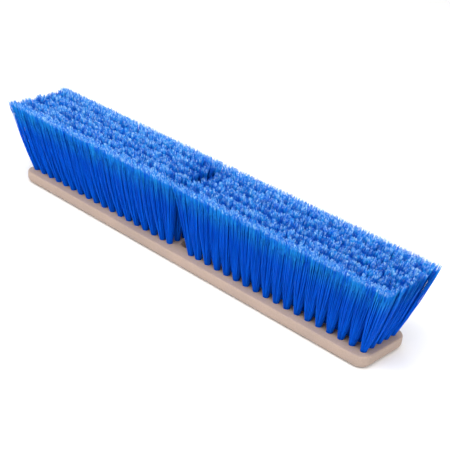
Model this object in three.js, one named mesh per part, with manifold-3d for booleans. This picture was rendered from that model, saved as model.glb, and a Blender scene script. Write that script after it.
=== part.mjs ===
// Push broom head, lying on its back with the bristles up.
// Millimetres. X runs along the head, Y across it, +Z from the back face to the bristle tips.
// The origin is the middle of the flat back face.

import * as THREE from 'three';
import { mergeVertices } from 'three/addons/utils/BufferGeometryUtils.js';
import Module from 'manifold-3d';

const wasm = await Module();
wasm.setup();

// Block.
const BLOCK_LENGTH = 457;
const BLOCK_WIDTH = 62;
const BLOCK_THICKNESS = 12.7;
const CORNER_RADIUS = 11;
const BACK_EDGE_ROUND = 6;
const BRISTLE_EDGE_ROUND = 1.5;

// Tuft holes, drilled from the bristle face along the lean of each tuft.
const ROW_COUNT = 5;
const ROW_SPACING = 10;
const COLUMN_PITCH = 12.2;
const END_MARGIN_LEAST = 8;
const HOLE_DIAMETER = 6;
const HOLE_DEPTH = 9;

// Handle socket: a tapered bore, leaning towards +Y on its way down to the back face.
const SOCKET_INNER_DIAMETER = 20.6;
const SOCKET_TAPER = 2.4;
const SOCKET_LEAN_DEGREES = 30;
const SOCKET_WALL = 1.4;

// Bristles.
const TRIM_HEIGHT = 73;
const END_FLARE = 26;
const SIDE_FLARE = 18;
const BELT_HEIGHT = 37;
const BELT_FILL = 0.92;
const TIP_OVERLAP = 0.5;
const GROUPS_PER_SIDE = 4;

// Over the socket the rows at the front and the back close; those between leave a hollow.
const FRONT_ROWS_CLOSED = 2;
const BACK_ROWS_CLOSED = 1;
const HOLLOW_LENGTH = 6.6;

// Clearances.
const HOLE_CLEARANCE = 0.5;
const NODE_GAP = 0.4;
const CUT_OVERSHOOT = 5;

// How finely round shapes are cut into flats. A tuft's sides are twice an odd number, so that two
// flats face along its row and neighbours meet on them.
const TUFT_SIDES = 6;
const SOCKET_SIDES = 32;
const CORNER_SEGMENTS = 6;
const EDGE_SEGMENTS = 3;
const FLAT_SHARE = Math.cos(Math.PI / TUFT_SIDES);

// Worked out from the values above.
const holeRadius = HOLE_DIAMETER / 2;
const socketMouthDiameter = SOCKET_INNER_DIAMETER + SOCKET_TAPER;
const socketLean = THREE.MathUtils.degToRad(SOCKET_LEAN_DEGREES);
const columnsPerSide = Math.floor((BLOCK_LENGTH / 2 - END_MARGIN_LEAST) / COLUMN_PITCH);
const firstColumnX = SOCKET_INNER_DIAMETER / 2 + SOCKET_WALL + holeRadius;
const tipFieldHalfLength = columnsPerSide * COLUMN_PITCH + END_FLARE;
const tipPitch = tipFieldHalfLength / (columnsPerSide + 0.5);
const rowFieldHalfWidth = ((ROW_COUNT - 1) / 2) * ROW_SPACING;
const tipRowSpacing = (2 * (rowFieldHalfWidth + SIDE_FLARE)) / ROW_COUNT;

const blockMaterial = new THREE.MeshStandardMaterial({ color: 0xb7a995, roughness: 0.6, metalness: 0 });
const bristleMaterial = new THREE.MeshStandardMaterial({ color: 0x0b56c4, roughness: 0.45, metalness: 0 });

// A closed three.js geometry as a solid that can be cut and joined.
function solidFrom(geometry) {
  const bare = geometry.index ? geometry.toNonIndexed() : geometry.clone();
  bare.deleteAttribute('normal');
  bare.deleteAttribute('uv');
  const merged = mergeVertices(bare);
  return new wasm.Manifold(new wasm.Mesh({
    numProp: 3,
    vertProperties: new Float32Array(merged.attributes.position.array),
    triVerts: new Uint32Array(merged.index.array),
  }));
}

// A solid as a named mesh.
function meshFrom(solid, name, material) {
  const { numProp, vertProperties, triVerts } = solid.getMesh();
  const positions = new Float32Array((vertProperties.length / numProp) * 3);
  for (let i = 0; i < positions.length / 3; i += 1) {
    positions.set(vertProperties.subarray(i * numProp, i * numProp + 3), i * 3);
  }
  const geometry = new THREE.BufferGeometry();
  geometry.setAttribute('position', new THREE.BufferAttribute(positions, 3));
  geometry.setIndex(new THREE.BufferAttribute(new Uint32Array(triVerts), 1));
  geometry.computeVertexNormals();
  const mesh = new THREE.Mesh(geometry, material);
  mesh.name = name;
  return mesh;
}

// The block's outline seen from above: a rectangle with round corners.
function blockOutline() {
  const x = BLOCK_LENGTH / 2 - CORNER_RADIUS;
  const y = BLOCK_WIDTH / 2 - CORNER_RADIUS;
  const outline = new THREE.Shape();
  outline.absarc(x, -y, CORNER_RADIUS, -Math.PI / 2, 0);
  outline.absarc(x, y, CORNER_RADIUS, 0, Math.PI / 2);
  outline.absarc(-x, y, CORNER_RADIUS, Math.PI / 2, Math.PI);
  outline.absarc(-x, -y, CORNER_RADIUS, Math.PI, 1.5 * Math.PI);
  return outline;
}

// The outline as a slab whose two rims are rounded by edgeRound, from z = low to z = high.
function roundedSlab(edgeRound, low, high) {
  const slab = new THREE.ExtrudeGeometry(blockOutline(), {
    depth: high - low - 2 * edgeRound,
    bevelEnabled: true,
    bevelThickness: edgeRound,
    bevelSize: edgeRound,
    bevelOffset: -edgeRound,
    bevelSegments: EDGE_SEGMENTS,
    curveSegments: CORNER_SEGMENTS,
  });
  slab.translate(0, 0, low + edgeRound);
  return solidFrom(slab);
}

// The tapered handle socket, run on past both faces. Its axis crosses the middle of the block.
function socketCut() {
  const wallLength = BLOCK_THICKNESS / Math.cos(socketLean);
  const slope = SOCKET_TAPER / 2 / wallLength;
  const length = wallLength + 2 * CUT_OVERSHOOT + socketMouthDiameter;
  const overrun = (length - wallLength) / 2;
  const topRadius = SOCKET_INNER_DIAMETER / 2 - slope * overrun;
  const bottomRadius = socketMouthDiameter / 2 + slope * overrun;
  const bore = new THREE.CylinderGeometry(topRadius, bottomRadius, length, SOCKET_SIDES);
  bore.rotateX(Math.PI / 2);
  bore.rotateX(socketLean);
  bore.translate(0, 0, BLOCK_THICKNESS / 2);
  return solidFrom(bore);
}

// Columns are counted outwards from the socket: ..., -2, -1, 1, 2, ... The first stands clear of it.
function footOf(column, row) {
  const steps = Math.abs(column);
  const x = steps === 1 ? firstColumnX : steps * COLUMN_PITCH;
  const y = (row - (ROW_COUNT - 1) / 2) * ROW_SPACING;
  return new THREE.Vector3(Math.sign(column) * x, y, BLOCK_THICKNESS);
}

function tipOf(column, row) {
  const y = (row - (ROW_COUNT - 1) / 2) * tipRowSpacing;
  return new THREE.Vector3(column * tipPitch, y, BLOCK_THICKNESS + TRIM_HEIGHT);
}

// The point at height z on the straight line from a tuft's foot to its tip, or down into its hole.
function onTuftLine(foot, tip, z) {
  const share = (z - foot.z) / (tip.z - foot.z);
  return new THREE.Vector3().lerpVectors(foot, tip, share);
}

// A prism that follows a tuft's line. Each section gives its height and its reach along the row,
// low and high, and across it.
function leaningPrism(foot, tip, sections) {
  const segments = sections.length - 1;
  const prism = new THREE.CylinderGeometry(1, 1, segments, TUFT_SIDES, segments);
  prism.rotateX(Math.PI / 2);
  const position = prism.attributes.position;
  for (let i = 0; i < position.count; i += 1) {
    const section = sections[Math.round(position.getZ(i) + segments / 2)];
    const along = position.getX(i) / FLAT_SHARE;
    const centre = onTuftLine(foot, tip, section.z);
    const x = centre.x + along * (along < 0 ? section.reachLow : section.reachHigh);
    const y = centre.y + position.getY(i) * section.reachAcross;
    position.setXYZ(i, x, y, section.z);
  }
  return solidFrom(prism);
}

// A section that reaches as far low as high along its row.
function evenSection(z, reachAlong, reachAcross) {
  return { z, reachLow: reachAlong, reachHigh: reachAlong, reachAcross };
}

function holeCut(column, row) {
  const flat = holeRadius * FLAT_SHARE;
  const floor = evenSection(BLOCK_THICKNESS - HOLE_DEPTH, flat, holeRadius);
  const mouth = evenSection(BLOCK_THICKNESS + CUT_OVERSHOOT, flat, holeRadius);
  return leaningPrism(footOf(column, row), tipOf(column, row), [floor, mouth]);
}

function makeBlock() {
  const backRounded = roundedSlab(BACK_EDGE_ROUND, 0, BLOCK_THICKNESS + 2 * BACK_EDGE_ROUND);
  const frontRounded = roundedSlab(BRISTLE_EDGE_ROUND, -2 * BRISTLE_EDGE_ROUND, BLOCK_THICKNESS);
  const cuts = [socketCut()];
  for (let row = 0; row < ROW_COUNT; row += 1) {
    for (let step = 1; step <= columnsPerSide; step += 1) {
      cuts.push(holeCut(step, row), holeCut(-step, row));
    }
  }
  const slab = backRounded.intersect(frontRounded);
  return meshFrom(slab.subtract(wasm.Manifold.union(cuts)), 'block', blockMaterial);
}

// How far a tuft's tip reaches along its row: it laps its neighbour within the group and stops short
// of the next group. Over the socket the rows close, all but the middle ones, which leave a hollow.
function tipReach(column, row, side, groupEdges) {
  const half = tipPitch / 2;
  const steps = Math.abs(column);
  const towardsEnd = side === Math.sign(column);
  if (steps === 1 && !towardsEnd) {
    const closed = row < FRONT_ROWS_CLOSED || row >= ROW_COUNT - BACK_ROWS_CLOSED;
    return tipPitch - (closed ? NODE_GAP : HOLLOW_LENGTH) / 2;
  }
  const edgeStep = towardsEnd ? groupEdges.last : groupEdges.first;
  return steps === edgeStep ? half - NODE_GAP / 2 : half + TIP_OVERLAP;
}

// The section where a tuft has spread to meet its neighbours, give or take the belt fill.
function beltSection() {
  const share = BELT_HEIGHT / TRIM_HEIGHT;
  const pitch = THREE.MathUtils.lerp(COLUMN_PITCH, tipPitch, share);
  const spacing = THREE.MathUtils.lerp(ROW_SPACING, tipRowSpacing, share);
  return evenSection(BLOCK_THICKNESS + BELT_HEIGHT, (pitch / 2) * BELT_FILL, (spacing / 2) * BELT_FILL);
}

// The root narrows into the hole on the same straight line that widens it above the face, where it
// clears the hole's wall by the hole clearance.
function rootSection(belt) {
  const depth = HOLE_DEPTH - HOLE_CLEARANCE;
  const faceRadius = holeRadius - HOLE_CLEARANCE;
  const faceFlat = faceRadius * FLAT_SHARE;
  const share = depth / BELT_HEIGHT;
  const along = faceFlat - (belt.reachHigh - faceFlat) * share;
  const across = faceRadius - (belt.reachAcross - faceRadius) * share;
  return evenSection(BLOCK_THICKNESS - depth, along, across);
}

function topSection(column, row, groupEdges) {
  return {
    z: BLOCK_THICKNESS + TRIM_HEIGHT,
    reachLow: tipReach(column, row, -1, groupEdges),
    reachHigh: tipReach(column, row, 1, groupEdges),
    reachAcross: (tipRowSpacing - NODE_GAP) / 2,
  };
}

function tuftSolid(column, row, groupEdges) {
  const belt = beltSection();
  const sections = [rootSection(belt), belt, topSection(column, row, groupEdges)];
  return leaningPrism(footOf(column, row), tipOf(column, row), sections);
}

// A short run of one row, its tufts joined where their tips lap.
function makeTuftGroup(row, side, group) {
  const first = Math.round((columnsPerSide * group) / GROUPS_PER_SIDE) + 1;
  const last = Math.round((columnsPerSide * (group + 1)) / GROUPS_PER_SIDE);
  const tufts = [];
  for (let step = first; step <= last; step += 1) {
    tufts.push(tuftSolid(side * step, row, { first, last }));
  }
  const sideName = side < 0 ? 'left' : 'right';
  const name = `tufts_row_${row + 1}_${sideName}_${group + 1}`;
  return meshFrom(wasm.Manifold.union(tufts), name, bristleMaterial);
}

function makeBristles() {
  const bristles = new THREE.Group();
  for (let row = 0; row < ROW_COUNT; row += 1) {
    for (let group = 0; group < GROUPS_PER_SIDE; group += 1) {
      bristles.add(makeTuftGroup(row, -1, group));
      bristles.add(makeTuftGroup(row, 1, group));
    }
  }
  return bristles;
}

const head = new THREE.Group();
head.add(makeBlock());
head.add(makeBristles());

export default head;
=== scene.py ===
"""Push broom head, lying on its back with the bristles up.

Metres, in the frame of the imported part: X along the head, Y across it, +Z to the bristle tips.
"""

import math
import random

import bpy
import numpy as np
from mathutils import Matrix, Vector


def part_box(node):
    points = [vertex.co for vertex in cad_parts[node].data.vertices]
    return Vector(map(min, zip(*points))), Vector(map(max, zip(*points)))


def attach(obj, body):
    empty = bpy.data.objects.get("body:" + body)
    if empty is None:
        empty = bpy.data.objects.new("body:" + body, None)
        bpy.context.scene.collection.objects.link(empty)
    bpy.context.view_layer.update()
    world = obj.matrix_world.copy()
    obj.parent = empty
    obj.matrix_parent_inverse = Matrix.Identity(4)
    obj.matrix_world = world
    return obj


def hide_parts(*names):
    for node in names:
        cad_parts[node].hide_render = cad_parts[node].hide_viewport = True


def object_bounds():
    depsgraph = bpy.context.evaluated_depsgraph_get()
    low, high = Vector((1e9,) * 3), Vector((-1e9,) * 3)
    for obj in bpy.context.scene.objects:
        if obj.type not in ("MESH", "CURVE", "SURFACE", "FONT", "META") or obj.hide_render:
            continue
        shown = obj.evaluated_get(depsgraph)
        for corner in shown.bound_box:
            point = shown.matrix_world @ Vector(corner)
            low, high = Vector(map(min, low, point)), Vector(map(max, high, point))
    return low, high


MM = 0.001

# Block.
CORNER_RADIUS = 11 * MM
CORNER_SEGMENTS = 14
BACK_EDGE_ROUND = 6 * MM
BACK_EDGE_SEGMENTS = 8
BRISTLE_EDGE_ROUND = 1.5 * MM
BRISTLE_EDGE_SEGMENTS = 4
BLOCK_SMOOTH_ANGLE = 32
SAME_PLANE = 0.01 * MM

# Handle socket: a tapered bore through the middle of the block, leaning to +Y on its way down.
SOCKET_INNER_DIAMETER = 20.6 * MM
SOCKET_TAPER = 2.4 * MM
SOCKET_LEAN = math.radians(30)
SOCKET_WALL = 1.4 * MM
SOCKET_SIDES = 72
SOCKET_RIM_BREAK = 0.45 * MM
SOCKET_RIM_SEGMENTS = 3
SOCKET_RIM_REACH = SOCKET_INNER_DIAMETER * 0.72

# Tuft holes.
ROW_COUNT = 5
ROW_SPACING = 10 * MM
COLUMN_PITCH = 12.2 * MM
COLUMNS_PER_SIDE = 18
GROUPS_PER_SIDE = 4
HOLE_DIAMETER = 6 * MM
HOLE_DEPTH = 9 * MM
HOLE_SIDES = 20
CUT_OVERSHOOT = 4 * MM

# Tufts.
END_FLARE = 26 * MM
SIDE_FLARE = 18 * MM
ROOT_DEPTH = 8.2 * MM
FOOT_RADIUS = 2.65 * MM
FILAMENTS_PER_TUFT = 110
MIDDLE_TUFT_KINDS = 6
EDGE_TUFT_KINDS = 4
EDGE_TIP_REACH = (7.2 * MM, 7.9 * MM)
MIDDLE_TIP_REACH = (7.0 * MM, 7.2 * MM)
TIP_SQUARENESS = 6
TIP_STRAY = 1.1 * MM
TRIM_UNEVENNESS = 0.5 * MM
MOST_TUFTS_IN_A_RUN = 5

# Clumps: each end is drawn part of the way to its nearest one, less so on an edge tuft's open side.
CLUMPS_PER_TUFT = 16
CLUMP_PULL = 0.6
CLUMP_PULL_RANGE = (0.6, 1.2)
OPEN_SIDE_PULL = 0.4
CLUMP_TURN = 0.3
CLUMP_SINK = 2.6 * MM

# Domed heads: how much lower a tuft's rim is than its middle, and how that grows towards the rim.
TIP_DOME = (1.6 * MM, 3.6 * MM)
DOME_SHARE_ALONG = 0.5
DOME_POWER_ALONG = 4
DOME_POWER_ACROSS = 3

# Spread with height: the lowest share of the height it is worked out at, and its speed at the foot.
LOWEST_SPREAD = -0.2
EARLY_SPREAD = 2.1

# Over the socket the rows at the front and the back close; those between leave a hollow.
FRONT_ROWS_CLOSED = 2
BACK_ROWS_CLOSED = 1
HOLLOW_LENGTH = 6.6 * MM

# Filaments.
FILAMENT_KINDS = 10
FILAMENT_RADIUS = 0.34 * MM
FLAG_LENGTH = 14 * MM
FLAGS_PER_FILAMENT = 3
FLAG_RADIUS = 0.24 * MM
FLAG_SPREAD = 0.9 * MM
FLAG_KINK = 0.6 * MM
FLAG_ROOT_STRAY = 0.1 * MM
FLAG_ROOT_DEPTH = 0.8 * MM
FLAG_LENGTH_RANGE = (0.85, 1.05)
FLAG_NARROWING = (0.95, 0.6)
FILAMENT_SIDES = 3
# Where a shaft bends, as shares of its length from the foot to where it splits.
SHAFT_BENDS = (0.0, 0.3, 0.6, 1.0)
SHAFT_STRAY = 0.5 * MM
SHAFT_NARROWING = 0.97
SPLIT_NARROWING = (0.8, 0.7)
FILAMENT_MAP = "OFBake"

# Anchors, the flat wires that the tufts are folded over.
ANCHOR_SIZE = (0.45 * MM, 5.0 * MM, 2.0 * MM)
ANCHOR_EDGE = 0.12 * MM
ANCHOR_CLEARANCE = 0.1 * MM

# Seeds of the random draws: where they start, and the step from one set, row or column to the next.
FILAMENT_SEED = 100
TUFT_SEED = 200
TUFT_SET_SEEDS = 20
ROW_SEEDS = 1000
COLUMN_SEEDS = 10

# Depth below the trim where an end starts to take the painted shade of the troughs, and where it takes
# all of it.
PAINTED_SHADE_FROM = 0.9 * MM
PAINTED_SHADE_TO = 3.4 * MM
STREAK_STRETCH = (1.0, 1.0, 0.06)

# Numbers of the sockets of a colour mix node.
MIX_SHARE = 0
MIX_FIRST = 6
MIX_SECOND = 7
MIX_RESULT = 2

# Floor, light and camera.
FLOOR_SIZE = 12
FLOOR_DROP = 0.1 * MM
FLOOR_WHITE = (0.95, 0.95, 0.95, 1)
FLOOR_ROUGHNESS = 0.9
WORLD_WHITE = (1, 1, 1, 1)
WORLD_STRENGTH = 0.58
SOFTBOXES = {
    "overhead": {"place": (0.0, -0.1, 1.8), "size": 2.0, "power": 22},
    "key": {"place": (0.0, -0.9, 1.2), "size": 1.2, "power": 11},
    "end_light": {"place": (1.3, -0.5, 1.0), "size": 0.8, "power": 7},
}
CAMERA_PLACE = (0.6399, -0.6764, 0.5209)
CAMERA_SWING = math.radians(41.76)
CAMERA_TILT = math.radians(90 - 27.60)
CAMERA_ROLL = math.radians(5.06)
CAMERA_LENS = 88.49
CAMERA_SENSOR_WIDTH = 36
CAMERA_CLIP = (0.01, 50)

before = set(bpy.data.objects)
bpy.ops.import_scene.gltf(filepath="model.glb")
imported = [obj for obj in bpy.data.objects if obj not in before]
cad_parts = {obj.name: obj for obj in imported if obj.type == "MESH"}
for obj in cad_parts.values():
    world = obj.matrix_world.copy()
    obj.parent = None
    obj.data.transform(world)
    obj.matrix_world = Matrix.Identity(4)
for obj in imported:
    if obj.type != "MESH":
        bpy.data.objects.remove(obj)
cad_low, cad_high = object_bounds()
block_low, block_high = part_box("block")

BLOCK_THICKNESS = block_high.z - block_low.z
TIP_HEIGHT = cad_high.z
TRIM_HEIGHT = TIP_HEIGHT - BLOCK_THICKNESS
HOLE_RADIUS = HOLE_DIAMETER / 2
FIRST_COLUMN_X = SOCKET_INNER_DIAMETER / 2 + SOCKET_WALL + HOLE_RADIUS
TIP_PITCH = (COLUMNS_PER_SIDE * COLUMN_PITCH + END_FLARE) / (COLUMNS_PER_SIDE + 0.5)
ROW_FIELD_HALF_WIDTH = (ROW_COUNT - 1) / 2 * ROW_SPACING
TIP_FIELD_HALF_WIDTH = ROW_FIELD_HALF_WIDTH + SIDE_FLARE
TIP_ROW_SPACING = 2 * TIP_FIELD_HALF_WIDTH / ROW_COUNT
SECOND_TUFT_START = 1.5 * TIP_PITCH


# ---------------------------------------------------------------- modelling helpers


def select_nothing():
    bpy.ops.object.select_all(action="DESELECT")


def make_active(piece):
    select_nothing()
    piece.select_set(True)
    bpy.context.view_layer.objects.active = piece


def edit_mode():
    bpy.ops.object.mode_set(mode="EDIT")


def object_mode():
    bpy.ops.object.mode_set(mode="OBJECT")


def select_edges(piece, wanted):
    """Leaves the piece in edit mode with those edges selected whose two end points pass."""
    edit_mode()
    bpy.ops.mesh.select_mode(type="EDGE")
    bpy.ops.mesh.select_all(action="DESELECT")
    object_mode()
    points = piece.data.vertices
    for edge in piece.data.edges:
        first, second = (points[i].co for i in edge.vertices)
        edge.select = wanted(first, second)
    edit_mode()


def bevel_edges(piece, wanted, width, segments):
    select_edges(piece, wanted)
    bpy.ops.mesh.bevel(offset=width, segments=segments, affect="EDGES")
    object_mode()


def apply_all_transforms(piece):
    make_active(piece)
    bpy.ops.object.transform_apply(location=True, rotation=True, scale=True)


def cut_away(piece, cutter):
    """Takes the cutter out of the piece and removes it."""
    make_active(piece)
    cut = piece.modifiers.new("cut", "BOOLEAN")
    cut.operation = "DIFFERENCE"
    cut.solver = "EXACT"
    cut.object = cutter
    bpy.ops.object.modifier_apply(modifier=cut.name)
    bpy.data.objects.remove(cutter, do_unlink=True)


def copy_of(piece, name):
    """A copy with a mesh of its own."""
    copy = piece.copy()
    copy.data = piece.data.copy()
    copy.name = name
    bpy.context.scene.collection.objects.link(copy)
    return copy


def join_all(pieces, name):
    select_nothing()
    for piece in pieces:
        piece.select_set(True)
    bpy.context.view_layer.objects.active = pieces[0]
    bpy.ops.object.join()
    joined = bpy.context.view_layer.objects.active
    joined.name = name
    joined.data.name = name
    return joined


def remove_all(pieces):
    for piece in pieces:
        bpy.data.objects.remove(piece, do_unlink=True)


def face_outwards(piece):
    make_active(piece)
    edit_mode()
    bpy.ops.mesh.select_all(action="SELECT")
    bpy.ops.mesh.normals_make_consistent(inside=False)
    object_mode()


def smooth_by_angle(piece, degrees):
    make_active(piece)
    bpy.ops.object.shade_smooth_by_angle(angle=math.radians(degrees))


def give_material(piece, material):
    piece.data.materials.clear()
    piece.data.materials.append(material)


# ---------------------------------------------------------------- shader nodes


class Nodes:
    """Adds nodes to one tree and links them, one short call each."""

    def __init__(self, tree):
        self.tree = tree

    def add(self, kind, **settings):
        node = self.tree.nodes.new(kind)
        for name, value in settings.items():
            setattr(node, name, value)
        return node

    def link(self, source, target):
        self.tree.links.new(source, target)

    def put(self, target, value):
        """Links a socket, or sets a plain value."""
        if isinstance(value, bpy.types.NodeSocket):
            self.link(value, target)
        else:
            target.default_value = value

    def mottle(self, place, scale, detail, contrast):
        node = self.add("ShaderNodeGroup", node_tree=bpy.data.node_groups["mottle"])
        self.put(node.inputs["Place"], place)
        node.inputs["Scale"].default_value = scale
        node.inputs["Detail"].default_value = detail
        node.inputs["Contrast"].default_value = contrast
        return node.outputs["Mask"]

    def math(self, operation, first, second=0.0):
        node = self.add("ShaderNodeMath", operation=operation)
        self.put(node.inputs[0], first)
        self.put(node.inputs[1], second)
        return node.outputs[0]

    def remap(self, value, start, end):
        """A smooth change from one range of values to another, each as (low, high)."""
        node = self.add("ShaderNodeMapRange", interpolation_type="SMOOTHSTEP")
        self.put(node.inputs["Value"], value)
        node.inputs["From Min"].default_value = start[0]
        node.inputs["From Max"].default_value = start[1]
        node.inputs["To Min"].default_value = end[0]
        node.inputs["To Max"].default_value = end[1]
        return node.outputs["Result"]

    def mix(self, share, first, second, blend="MIX"):
        node = self.add("ShaderNodeMix", data_type="RGBA", blend_type=blend)
        self.put(node.inputs[MIX_SHARE], share)
        self.put(node.inputs[MIX_FIRST], first)
        self.put(node.inputs[MIX_SECOND], second)
        return node.outputs[MIX_RESULT]


def mottle_group():
    """Soft patches from 0 to 1, for grain, cloudiness and streaks."""
    group = bpy.data.node_groups.new("mottle", "ShaderNodeTree")
    sockets = group.interface
    sockets.new_socket(name="Place", in_out="INPUT", socket_type="NodeSocketVector")
    sockets.new_socket(name="Scale", in_out="INPUT", socket_type="NodeSocketFloat")
    sockets.new_socket(name="Detail", in_out="INPUT", socket_type="NodeSocketFloat")
    sockets.new_socket(name="Contrast", in_out="INPUT", socket_type="NodeSocketFloat")
    sockets.new_socket(name="Mask", in_out="OUTPUT", socket_type="NodeSocketFloat")
    nodes = Nodes(group)
    given = nodes.add("NodeGroupInput").outputs
    result = nodes.add("NodeGroupOutput").inputs
    noise = nodes.add("ShaderNodeTexNoise")
    nodes.put(noise.inputs["Vector"], given["Place"])
    nodes.put(noise.inputs["Scale"], given["Scale"])
    nodes.put(noise.inputs["Detail"], given["Detail"])
    centred = nodes.math("SUBTRACT", noise.outputs["Fac"], 0.5)
    stretched = nodes.math("MULTIPLY", centred, given["Contrast"])
    raised = nodes.add("ShaderNodeMath", operation="ADD", use_clamp=True)
    nodes.put(raised.inputs[0], stretched)
    nodes.put(raised.inputs[1], 0.5)
    nodes.put(result["Mask"], raised.outputs[0])


def new_material(name):
    material = bpy.data.materials.new(name)
    material.use_nodes = True
    nodes = Nodes(material.node_tree)
    surface = material.node_tree.nodes["Principled BSDF"]
    return material, nodes, surface


def block_plastic():
    material, nodes, surface = new_material("block_plastic")
    place = nodes.add("ShaderNodeTexCoord").outputs["Object"]
    cloudy = nodes.mottle(place, scale=22.0, detail=3.0, contrast=3.5)
    grainy = nodes.mottle(place, scale=900.0, detail=3.0, contrast=3.0)
    warm = (0.47, 0.35, 0.28, 1)
    cool = (0.42, 0.315, 0.255, 1)
    base = nodes.mix(cloudy, cool, warm)
    speck = nodes.remap(grainy, (0.0, 1.0), (0.94, 1.04))
    colour = nodes.mix(1.0, base, speck, "MULTIPLY")
    nodes.put(surface.inputs["Base Color"], colour)
    nodes.put(surface.inputs["Roughness"], nodes.remap(cloudy, (0.0, 1.0), (0.5, 0.62)))
    surface.inputs["Specular IOR Level"].default_value = 0.35
    bump = nodes.add("ShaderNodeBump")
    bump.inputs["Strength"].default_value = 0.25
    bump.inputs["Distance"].default_value = 0.1 * MM
    nodes.put(bump.inputs["Height"], grainy)
    nodes.put(surface.inputs["Normal"], bump.outputs["Normal"])
    return material


def bristle_plastic():
    material, nodes, surface = new_material("bristle_plastic")
    where = nodes.add("ShaderNodeUVMap", uv_map=FILAMENT_MAP).outputs["UV"]
    parts = nodes.add("ShaderNodeSeparateXYZ")
    nodes.put(parts.inputs[0], where)
    along = parts.outputs["Y"]
    strips = FILAMENTS_PER_TUFT * MOST_TUFTS_IN_A_RUN
    strip = nodes.math("FLOOR", nodes.math("MULTIPLY", parts.outputs["X"], strips))
    lot = nodes.add("ShaderNodeTexWhiteNoise", noise_dimensions="1D")
    nodes.put(lot.inputs["W"], strip)
    chance = lot.outputs["Value"]

    place = nodes.add("ShaderNodeTexCoord").outputs["Object"]
    stretch = nodes.add("ShaderNodeVectorMath", operation="MULTIPLY")
    nodes.put(stretch.inputs[0], place)
    stretch.inputs[1].default_value = STREAK_STRETCH
    streak = nodes.mottle(stretch.outputs[0], scale=300.0, detail=2.0, contrast=4.0)
    tint = nodes.math("MULTIPLY", nodes.math("ADD", streak, chance), 0.5)
    deep = (0.0, 0.095, 0.68, 1)
    bright = (0.0, 0.145, 0.86, 1)
    shaft = nodes.mix(tint, deep, bright)

    haze = (0.02, 0.37, 0.80, 1)
    near_tip = nodes.remap(along, (0.62, 0.94), (0.0, 0.95))
    frayed = nodes.math("MULTIPLY", near_tip, tint)
    sides = nodes.mix(frayed, shaft, haze)
    pale = (0.46, 0.76, 1.0, 1)
    clumps = nodes.mottle(place, scale=420.0, detail=2.0, contrast=5.0)
    wear = nodes.remap(chance, (0.1, 0.75), (0.15, 1.0))
    speckle = nodes.math("MULTIPLY", clumps, wear)
    tips = nodes.remap(along, (0.95, 0.995), (0.0, 1.0))
    whole = nodes.mix(nodes.math("MULTIPLY", tips, speckle), sides, pale)

    # How far an end is cut below the trim: ends cut low get a painted shade, a darker blue that stands
    # in for the shadow in the troughs between clumps.
    height = nodes.add("ShaderNodeSeparateXYZ")
    nodes.put(height.inputs[0], place)
    full_height = nodes.math("MULTIPLY", along, TRIM_HEIGHT + ROOT_DEPTH)
    base_height = nodes.math("SUBTRACT", full_height, ROOT_DEPTH - BLOCK_THICKNESS)
    cut_below = nodes.math("SUBTRACT", base_height, height.outputs["Z"])
    low = nodes.remap(cut_below, (PAINTED_SHADE_FROM, PAINTED_SHADE_TO), (0.0, 1.0))
    # Painted shade: the darker blue given to ends that sit deep in the troughs.
    painted_trough_shade = (0.0, 0.062, 0.46, 1)
    nodes.put(surface.inputs["Base Color"], nodes.mix(low, whole, painted_trough_shade))
    nodes.put(surface.inputs["Roughness"], nodes.remap(along, (0.7, 1.0), (0.5, 0.7)))
    surface.inputs["Specular IOR Level"].default_value = 0.04
    return material


def anchor_steel():
    material, nodes, surface = new_material("anchor_steel")
    place = nodes.add("ShaderNodeTexCoord").outputs["Object"]
    spangle = nodes.mottle(place, scale=1500.0, detail=2.0, contrast=3.5)
    light = (0.62, 0.63, 0.64, 1)
    dark = (0.42, 0.43, 0.45, 1)
    nodes.put(surface.inputs["Base Color"], nodes.mix(spangle, dark, light))
    nodes.put(surface.inputs["Roughness"], nodes.remap(spangle, (0.0, 1.0), (0.3, 0.45)))
    surface.inputs["Metallic"].default_value = 1.0
    return material


# ---------------------------------------------------------------- where the tufts stand


def foot_of(column, row):
    steps = abs(column)
    x = FIRST_COLUMN_X if steps == 1 else steps * COLUMN_PITCH
    y = (row - (ROW_COUNT - 1) / 2) * ROW_SPACING
    return Vector((math.copysign(x, column), y, BLOCK_THICKNESS))


def is_edge_row(row):
    return row in (0, ROW_COUNT - 1)


def closes_gap(row):
    return row < FRONT_ROWS_CLOSED or row >= ROW_COUNT - BACK_ROWS_CLOSED


def first_tip_start(row):
    """How far from the middle of the head a row's tips begin."""
    return 0.0 if closes_gap(row) else HOLLOW_LENGTH / 2


def tip_of(column, row):
    x = column * TIP_PITCH
    if abs(column) == 1:
        x = math.copysign((first_tip_start(row) + SECOND_TUFT_START) / 2, column)
    y = (row - (ROW_COUNT - 1) / 2) * TIP_ROW_SPACING
    if is_edge_row(row):
        y = math.copysign(TIP_FIELD_HALF_WIDTH - EDGE_TIP_REACH[1], y)
    else:
        stray = random.Random(ROW_SEEDS * row + column)
        y += stray.uniform(-TIP_STRAY, TIP_STRAY)
    return Vector((x, y, TIP_HEIGHT))


def every_tuft():
    for row in range(ROW_COUNT):
        for step in range(1, COLUMNS_PER_SIDE + 1):
            yield -step, row
            yield step, row


def lean_matrix(column, row):
    """Moves a piece that stands upright on the origin on to a tuft's foot and leans it."""
    foot = foot_of(column, row)
    lean = (tip_of(column, row) - foot) / TRIM_HEIGHT
    shear = Matrix.Identity(4)
    shear[0][2] = lean.x
    shear[1][2] = lean.y
    return Matrix.Translation(foot) @ shear


# ---------------------------------------------------------------- block


def is_upright(first, second):
    return abs(first.x - second.x) < MM and abs(first.y - second.y) < MM


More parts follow.
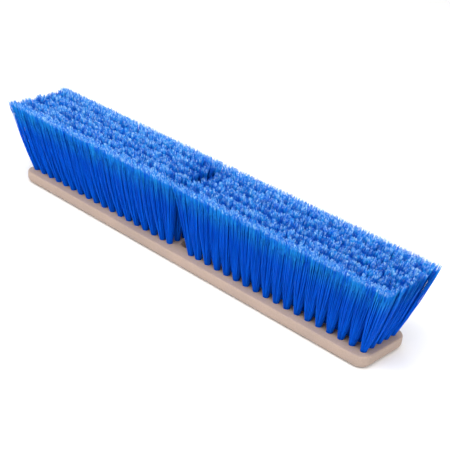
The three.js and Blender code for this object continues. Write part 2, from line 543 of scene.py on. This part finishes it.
def rounded_slab():
    size = block_high - block_low
    bpy.ops.mesh.primitive_cube_add(size=1, location=(block_low + block_high) / 2)
    slab = bpy.context.object
    bpy.ops.transform.resize(value=size)
    apply_all_transforms(slab)
    bevel_edges(slab, is_upright, CORNER_RADIUS, CORNER_SEGMENTS)

    def on_back(first, second):
        return max(first.z, second.z) < block_low.z + SAME_PLANE

    def on_bristle_side(first, second):
        return min(first.z, second.z) > block_high.z - SAME_PLANE

    bevel_edges(slab, on_back, BACK_EDGE_ROUND, BACK_EDGE_SEGMENTS)
    bevel_edges(slab, on_bristle_side, BRISTLE_EDGE_ROUND, BRISTLE_EDGE_SEGMENTS)
    return slab


def socket_cutter():
    wall_length = BLOCK_THICKNESS / math.cos(SOCKET_LEAN)
    slope = SOCKET_TAPER / 2 / wall_length
    length = wall_length + 2 * CUT_OVERSHOOT + SOCKET_INNER_DIAMETER + SOCKET_TAPER
    overrun = (length - wall_length) / 2
    bpy.ops.mesh.primitive_cone_add(
        vertices=SOCKET_SIDES,
        radius1=(SOCKET_INNER_DIAMETER + SOCKET_TAPER) / 2 + slope * overrun,
        radius2=SOCKET_INNER_DIAMETER / 2 - slope * overrun,
        depth=length,
        location=(0, 0, BLOCK_THICKNESS / 2),
        rotation=(SOCKET_LEAN, 0, 0),
    )
    cutter = bpy.context.object
    apply_all_transforms(cutter)
    return cutter


def hole_cutter():
    depth = HOLE_DEPTH + CUT_OVERSHOOT
    bpy.ops.mesh.primitive_cylinder_add(
        vertices=HOLE_SIDES,
        radius=HOLE_RADIUS,
        depth=depth,
        location=(0, 0, depth / 2 - HOLE_DEPTH),
    )
    drill = bpy.context.object
    apply_all_transforms(drill)
    holes = []
    for column, row in every_tuft():
        hole = copy_of(drill, "hole")
        hole.data.transform(lean_matrix(column, row))
        holes.append(hole)
    remove_all([drill])
    return join_all(holes, "holes")


def break_socket_rims(block):
    """Takes the sharp edge off the socket where it opens at each face."""
    offset = BLOCK_THICKNESS / 2 * math.tan(SOCKET_LEAN)

    def on_rim(first, second):
        for point in (first, second):
            above_back = abs(point.z - block_low.z)
            below_bristle_side = abs(point.z - block_high.z)
            if min(above_back, below_bristle_side) >= SAME_PLANE:
                return False
            middle = -offset if point.z > BLOCK_THICKNESS / 2 else offset
            if math.hypot(point.x, point.y - middle) > SOCKET_RIM_REACH:
                return False
        return True

    bevel_edges(block, on_rim, SOCKET_RIM_BREAK, SOCKET_RIM_SEGMENTS)


def make_block(plastic):
    block = rounded_slab()
    cut_away(block, socket_cutter())
    break_socket_rims(block)
    cut_away(block, hole_cutter())
    block.name = "block_body"
    smooth_by_angle(block, BLOCK_SMOOTH_ANGLE)
    give_material(block, plastic)
    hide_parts("block")
    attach(block, "root")


# ---------------------------------------------------------------- filaments and tufts


def extrude_to(offset, shrink):
    """Draws the selected end out by an offset and narrows it."""
    bpy.ops.mesh.extrude_region_move(TRANSFORM_OT_translate={"value": offset})
    bpy.ops.transform.resize(value=(shrink, shrink, 1))


def random_sideways(chance, reach):
    angle = chance.uniform(0, 2 * math.pi)
    size = reach * math.sqrt(chance.random())
    return size * math.cos(angle), size * math.sin(angle)


def draw_shaft(chance):
    """A filament's core, from the bottom of its hole to its tip. Gives the point where it splits."""
    bpy.ops.mesh.primitive_circle_add(
        vertices=FILAMENT_SIDES,
        radius=FILAMENT_RADIUS,
        fill_type="NGON",
        location=(0, 0, -ROOT_DEPTH),
    )
    whole = TRIM_HEIGHT - FLAG_LENGTH
    here = Vector((0, 0, -ROOT_DEPTH))
    for share in SHAFT_BENDS:
        x, y = random_sideways(chance, SHAFT_STRAY * share)
        there = Vector((x, y, whole * share))
        extrude_to(there - here, SHAFT_NARROWING)
        here = there
    split = here
    for shrink in SPLIT_NARROWING:
        x, y = random_sideways(chance, FLAG_KINK)
        extrude_to(Vector((x, y, FLAG_LENGTH / 2)), shrink)
    return split


def draw_flag(chance, start):
    """One of the fine fibres that a filament's end is split into."""
    bpy.ops.mesh.select_all(action="DESELECT")
    x, y = random_sideways(chance, FLAG_ROOT_STRAY)
    bpy.ops.mesh.primitive_circle_add(
        vertices=FILAMENT_SIDES,
        radius=FLAG_RADIUS,
        fill_type="NGON",
        location=start + Vector((x, y, -FLAG_ROOT_DEPTH)),
    )
    out_x, out_y = random_sideways(chance, FLAG_SPREAD)
    length = FLAG_LENGTH * chance.uniform(*FLAG_LENGTH_RANGE)
    for shrink in FLAG_NARROWING:
        x, y = random_sideways(chance, FLAG_KINK)
        extrude_to(Vector((out_x / 2 + x, out_y / 2 + y, length / 2)), shrink)


def map_filament(filament):
    """One upright strip: across it round the filament, up it from root to tip."""
    layer = filament.data.uv_layers.new(name=FILAMENT_MAP)
    whole = TRIM_HEIGHT + ROOT_DEPTH
    loops = filament.data.loops
    points = filament.data.vertices
    for face in filament.data.polygons:
        for place, corner in enumerate(face.loop_indices):
            point = points[loops[corner].vertex_index].co
            across = (place + 0.5) / len(face.loop_indices)
            layer.data[corner].uv = (across, (point.z + ROOT_DEPTH) / whole)


def make_filament(kind):
    chance = random.Random(FILAMENT_SEED + kind)
    select_nothing()
    bpy.ops.mesh.primitive_circle_add(vertices=FILAMENT_SIDES, radius=FILAMENT_RADIUS)
    filament = bpy.context.object
    filament.name = f"filament_{kind}"
    edit_mode()
    bpy.ops.mesh.select_all(action="SELECT")
    bpy.ops.mesh.delete(type="VERT")
    top = draw_shaft(chance)
    for _ in range(FLAGS_PER_FILAMENT):
        draw_flag(chance, top)
    object_mode()
    apply_all_transforms(filament)
    face_outwards(filament)
    make_active(filament)
    bpy.ops.object.shade_smooth()
    for layer in list(filament.data.uv_layers):
        filament.data.uv_layers.remove(layer)
    map_filament(filament)
    return filament


def spread_share(height_share):
    """How far a filament has spread from foot to tip at a height: fast at first, then upright."""
    share = np.clip(height_share, LOWEST_SPREAD, 1.0)
    return share * (EARLY_SPREAD - (EARLY_SPREAD - 1) * share)


def squarish_reach(angle, reach_x, reach_y):
    """Distance from the middle to the edge of a rounded oblong in one direction."""
    along = abs(math.cos(angle)) / reach_x
    across = abs(math.sin(angle)) / reach_y
    return (along**TIP_SQUARENESS + across**TIP_SQUARENESS) ** (-1 / TIP_SQUARENESS)


def spiral_place(index, count):
    """Even points over a disc: angle, and distance from the middle as a share."""
    golden = math.pi * (3 - math.sqrt(5))
    return index * golden, math.sqrt((index + 0.5) / count)


def clump_centres(chance, reach_x, reach_y):
    """Where a tuft's ends gather, each with how far it sinks below the trim."""
    centres = []
    for index in range(CLUMPS_PER_TUFT):
        angle, share = spiral_place(index, CLUMPS_PER_TUFT)
        angle += chance.uniform(-CLUMP_TURN, CLUMP_TURN)
        reach = squarish_reach(angle, reach_x, reach_y) * share
        sink = chance.uniform(0.0, CLUMP_SINK)
        centres.append((reach * math.cos(angle), reach * math.sin(angle), sink))
    return centres


def tip_sink(chance, tip, tip_reach, clump_sink, dome, open_side):
    """How much lower than the trim a tip ends: heads are domed, and their clumps uneven.

    The open side of an edge tuft, its -Y side, is trimmed level.
    """
    uneven = chance.uniform(0, TRIM_UNEVENNESS)
    along = abs(tip[0]) / tip_reach[0]
    across = abs(tip[1]) / tip_reach[1]
    if open_side and tip[1] < 0:
        return uneven
    drop = max(DOME_SHARE_ALONG * along**DOME_POWER_ALONG, across**DOME_POWER_ACROSS)
    return uneven + clump_sink + dome * drop


def lay_filament(copy, foot, tip, turn, sink, index, spreads_evenly):
    """Turns a filament about its own length, then runs it from its place at the foot to its tip."""
    mesh = copy.data
    mesh.transform(Matrix.Rotation(turn, 4, "Z"))
    points = np.empty(len(mesh.vertices) * 3, np.float32)
    mesh.vertices.foreach_get("co", points)
    points = points.reshape(-1, 3)
    share = points[:, 2] / TRIM_HEIGHT
    spread = share if spreads_evenly else spread_share(share)
    points[:, 0] += foot[0] + (tip[0] - foot[0]) * spread
    points[:, 1] += foot[1] + (tip[1] - foot[1]) * spread
    points[:, 2] -= sink * np.clip(share, 0, 1)
    mesh.vertices.foreach_set("co", points.ravel())
    shift_map(mesh, index, FILAMENTS_PER_TUFT)


def shift_map(mesh, index, count):
    """Moves a map that fills its square into one of count upright strips."""
    layer = mesh.uv_layers[FILAMENT_MAP]
    places = np.empty(len(mesh.loops) * 2, np.float32)
    layer.data.foreach_get("uv", places)
    places[0::2] = (places[0::2] + index) / count
    layer.data.foreach_set("uv", places)


def make_tuft(name, seed, filaments, tip_reach, open_side):
    """A whole tuft, upright on the origin with its foot at z = 0.

    The wide tufts beside the socket spread evenly all the way up, the others early.
    """
    spreads_evenly = tip_reach[0] > EDGE_TIP_REACH[0]
    chance = random.Random(seed)
    clumps = clump_centres(chance, *tip_reach)
    dome = chance.uniform(*TIP_DOME)
    copies = []
    for index in range(FILAMENTS_PER_TUFT):
        angle, share = spiral_place(index, FILAMENTS_PER_TUFT)
        foot = (FOOT_RADIUS * share * math.cos(angle), FOOT_RADIUS * share * math.sin(angle))
        reach = squarish_reach(angle, *tip_reach) * share
        free = (reach * math.cos(angle), reach * math.sin(angle))
        clump = min(clumps, key=lambda c: math.hypot(c[0] - free[0], c[1] - free[1]))
        pull = CLUMP_PULL * chance.uniform(*CLUMP_PULL_RANGE)
        if open_side and free[1] < 0:
            pull *= OPEN_SIDE_PULL
        tip = [free[i] + (clump[i] - free[i]) * pull for i in (0, 1)]
        copy = copy_of(filaments[chance.randrange(len(filaments))], "filament")
        sink = tip_sink(chance, tip, tip_reach, clump[2], dome, open_side)
        turn = chance.uniform(0, 2 * math.pi)
        lay_filament(copy, foot, tip, turn, sink, index, spreads_evenly)
        copies.append(copy)
    return join_all(copies, name)


def group_columns(group):
    """First and last column of a run, counted from the socket."""
    share = COLUMNS_PER_SIDE / GROUPS_PER_SIDE
    first = math.floor(share * group + 0.5) + 1
    last = math.floor(share * (group + 1) + 0.5)
    return first, last


def tuft_set(column, row):
    """The name of the tufts to choose from: their place across the head, and over the socket."""
    place = "edge" if is_edge_row(row) else "middle"
    if abs(column) > 1:
        return place
    return place + (" closing" if closes_gap(row) else " hollow")


def make_run(row, side, group, tufts, plastic):
    """The tufts of one short run of a row, in place of that run's CAD solid."""
    side_name = "left" if side < 0 else "right"
    run_name = f"row_{row + 1}_{side_name}_{group + 1}"
    first, last = group_columns(group)
    copies = []
    for step in range(first, last + 1):
        column = side * step
        chance = random.Random(ROW_SEEDS * row + COLUMN_SEEDS * step + side)
        copy = copy_of(chance.choice(tufts[tuft_set(column, row)]), "tuft")
        half_turns = chance.randrange(2)
        if is_edge_row(row):
            # The level side of an edge tuft faces outwards.
            half_turns = 0 if row == 0 else 1
        turn = Matrix.Rotation(half_turns * math.pi, 4, "Z")
        copy.data.transform(lean_matrix(column, row) @ turn)
        shift_map(copy.data, step - first, MOST_TUFTS_IN_A_RUN)
        copies.append(copy)
    run = join_all(copies, f"bristles_{run_name}")
    give_material(run, plastic)
    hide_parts(f"tufts_{run_name}")
    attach(run, "root")


def make_tuft_sets(filaments):
    """Tufts for each place: how far their tips reach, whether one side is open, and how many shapes."""
    closing = SECOND_TUFT_START / 2
    hollow = closing - HOLLOW_LENGTH / 4
    plan = {
        "middle": (MIDDLE_TIP_REACH, False, MIDDLE_TUFT_KINDS),
        "edge": (EDGE_TIP_REACH, True, EDGE_TUFT_KINDS),
        "middle closing": ((closing, MIDDLE_TIP_REACH[1]), False, 1),
        "middle hollow": ((hollow, MIDDLE_TIP_REACH[1]), False, 1),
        "edge closing": ((closing, EDGE_TIP_REACH[1]), True, 1),
    }
    sets = {}
    for number, (place, (tip_reach, open_side, kinds)) in enumerate(plan.items()):
        first_seed = TUFT_SEED + TUFT_SET_SEEDS * number
        sets[place] = [
            make_tuft(f"tuft_{place}", first_seed + kind, filaments, tip_reach, open_side)
            for kind in range(kinds)
        ]
    return sets


def make_bristles(plastic):
    filaments = [make_filament(kind) for kind in range(FILAMENT_KINDS)]
    tufts = make_tuft_sets(filaments)
    for row in range(ROW_COUNT):
        for group in range(GROUPS_PER_SIDE):
            for side in (-1, 1):
                make_run(row, side, group, tufts, plastic)
    remove_all(filaments)
    for made in tufts.values():
        remove_all(made)


# ---------------------------------------------------------------- anchors


def make_anchors(steel):
    height = -HOLE_DEPTH + ANCHOR_SIZE[2] / 2 + ANCHOR_CLEARANCE
    bpy.ops.mesh.primitive_cube_add(size=1, location=(0, 0, height))
    wire = bpy.context.object
    bpy.ops.transform.resize(value=ANCHOR_SIZE)
    apply_all_transforms(wire)
    bevel_edges(wire, lambda first, second: True, ANCHOR_EDGE, 1)
    copies = []
    for column, row in every_tuft():
        copy = copy_of(wire, "anchor")
        copy.data.transform(lean_matrix(column, row))
        copies.append(copy)
    remove_all([wire])
    anchors = join_all(copies, "tuft_anchors")
    give_material(anchors, steel)
    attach(anchors, "root")


# ---------------------------------------------------------------- floor, light and camera


def make_floor():
    material, _, surface = new_material("studio_floor")
    surface.inputs["Base Color"].default_value = FLOOR_WHITE
    surface.inputs["Roughness"].default_value = FLOOR_ROUGHNESS
    bpy.ops.mesh.primitive_plane_add(size=FLOOR_SIZE, location=(0, 0, -FLOOR_DROP))
    floor = bpy.context.object
    floor.name = "floor"
    apply_all_transforms(floor)
    give_material(floor, material)


def softbox(name, place, size, power):
    """A square area light that faces the middle of the head."""
    light = bpy.data.lights.new(name, "AREA")
    light.size = size
    light.energy = power
    lamp = bpy.data.objects.new(name, light)
    lamp.location = place
    aim = Vector((0, 0, TIP_HEIGHT / 2)) - Vector(place)
    lamp.rotation_euler = aim.to_track_quat("-Z", "Y").to_euler()
    bpy.context.scene.collection.objects.link(lamp)


def light_scene():
    scene = bpy.context.scene
    scene.view_settings.view_transform = "Standard"
    world = bpy.data.worlds.new("studio")
    world.use_nodes = True
    background = world.node_tree.nodes["Background"]
    background.inputs["Color"].default_value = WORLD_WHITE
    background.inputs["Strength"].default_value = WORLD_STRENGTH
    scene.world = world
    for name, light in SOFTBOXES.items():
        softbox(name, **light)


def place_camera():
    camera_data = bpy.data.cameras.new("camera")
    camera_data.lens = CAMERA_LENS
    camera_data.sensor_width = CAMERA_SENSOR_WIDTH
    camera_data.clip_start = CAMERA_CLIP[0]
    camera_data.clip_end = CAMERA_CLIP[1]
    camera = bpy.data.objects.new("camera", camera_data)
    camera.location = CAMERA_PLACE
    swing = Matrix.Rotation(CAMERA_SWING, 4, "Z")
    tilt = Matrix.Rotation(CAMERA_TILT, 4, "X")
    roll = Matrix.Rotation(CAMERA_ROLL, 4, "Z")
    camera.rotation_euler = (swing @ tilt @ roll).to_euler()
    bpy.context.scene.collection.objects.link(camera)
    bpy.context.scene.camera = camera


select_nothing()
mottle_group()
place_camera()
light_scene()
make_floor()
make_block(block_plastic())
make_bristles(bristle_plastic())
make_anchors(anchor_steel())
